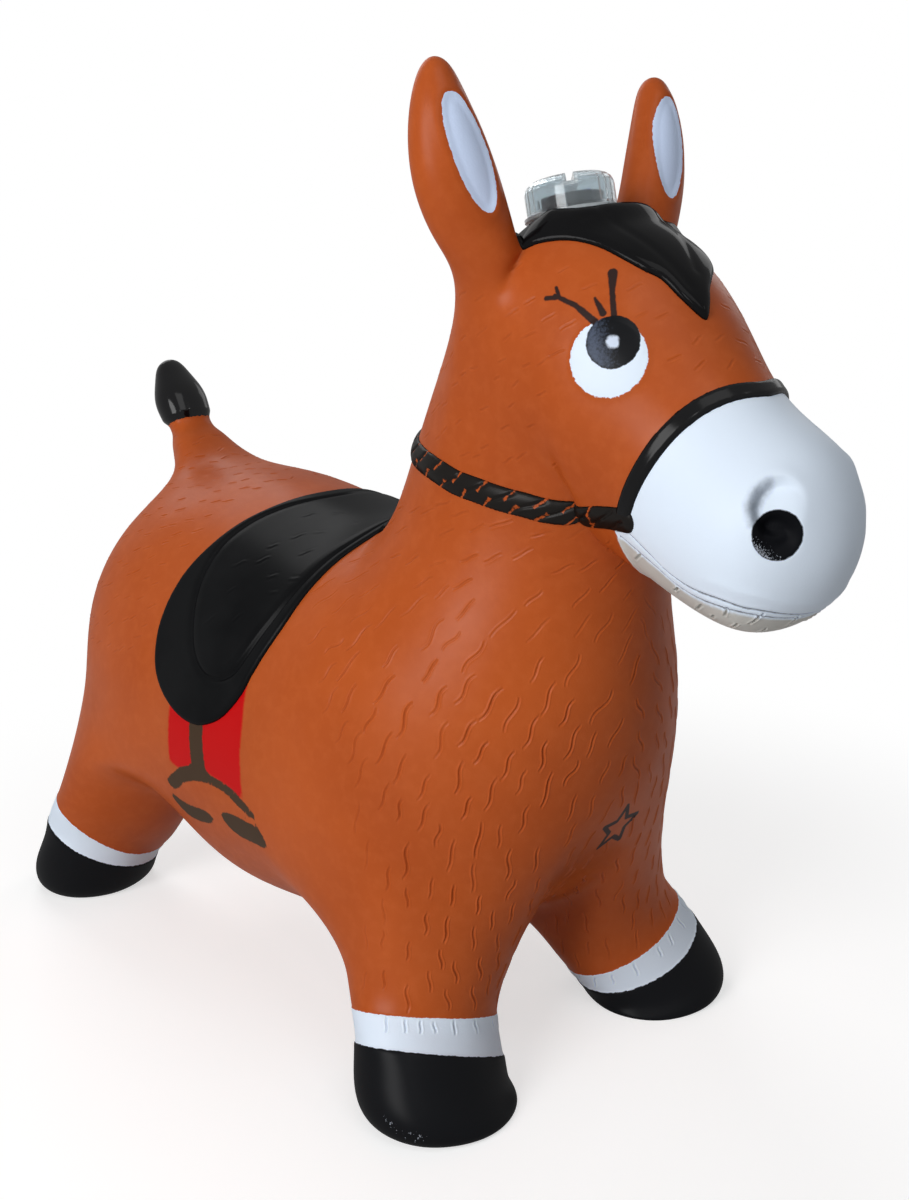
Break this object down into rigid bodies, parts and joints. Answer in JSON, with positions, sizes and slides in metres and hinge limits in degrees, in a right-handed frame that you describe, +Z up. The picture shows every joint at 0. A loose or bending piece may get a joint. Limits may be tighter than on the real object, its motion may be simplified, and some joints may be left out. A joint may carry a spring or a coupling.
{
  "type": "bouncy ride-on animal",
  "caption": "Inflatable hopping horse that a small child sits on and bounces, with a valve plug under its belly and a clear light and sound module in its crown.",
  "frame": {"origin": "on the floor under the centre of the overall box, between the four hooves", "axes": "+Z up, -Y the way the horse faces, +X its left side"},
  "size_m": [0.2514, 0.5348, 0.4983],
  "materials": {
    "brown_pvc": "soft satin PVC skin, with painted black, white and red areas",
    "white_plastic": "soft satin",
    "milky_plastic": "frosted, half clear",
    "clear_plastic": "clear, polished",
    "dark_plastic": "satin",
    "steel": "bright nickel plate",
    "brass": "bright strip",
    "green_board": "solder mask",
    "red_lens": "clear lens",
    "green_lens": "clear lens",
    "blue_lens": "clear lens",
    "black_epoxy": "gloss",
    "grey_plastic": "satin",
    "magnet": "plated",
    "clear_film": "thin film",
    "wire_pvc": "satin"
  },
  "bodies": {
    "horse": {"body_skin": "brown_pvc"},
    "valve_plug": {"valve_plug": "white_plastic"},
    "light_module": {"module_cup": "milky_plastic", "battery_tray": "dark_plastic", "button_cell_1": "steel", "button_cell_2": "steel", "button_cell_3": "steel", "cell_pad_1": "brass", "cell_pad_2": "brass", "cell_pad_3": "brass", "cell_tab_1": "brass", "cell_tab_2": "brass", "cell_tab_3": "brass", "circuit_board": "green_board", "sound_chip": "black_epoxy", "board_screw": "steel", "led_red": "red_lens", "led_green": "green_lens", "led_blue": "blue_lens", "vibration_pin": "steel", "speaker_frame": "grey_plastic", "speaker_magnet": "magnet", "speaker_cone": "clear_film", "speaker_wire_1": "wire_pvc", "speaker_wire_2": "wire_pvc", "tray_screw_1": "steel", "tray_screw_2": "steel", "tray_screw_3": "steel"},
    "module_cap": {"module_cap": "clear_plastic"},
    "vibration_spring": {"vibration_spring": "steel"}
  },
  "joints": [
    {"name": "valve_plug_pull", "type": "slide", "parent": "horse", "child": "valve_plug", "axis": [0, 0, -1], "range_m": [0, 0.018]},
    {"name": "module_lift", "type": "slide", "parent": "horse", "child": "light_module", "axis": [0, 0.225, 0.9744], "range_m": [0, 0.022]},
    {"name": "cap_turn", "type": "hinge", "parent": "light_module", "child": "module_cap", "pos_m": [0, -0.11182, 0.43215], "axis": [0, 0.225, 0.9744], "range_deg": [0, 60]},
    {"name": "spring_swing", "type": "hinge", "parent": "light_module", "child": "vibration_spring", "pos_m": [0.007, -0.11175, 0.43245], "axis": [1, 0, 0], "range_deg": [-5, 5], "stiffness_Nm_per_rad": 0.001}
  ]
}
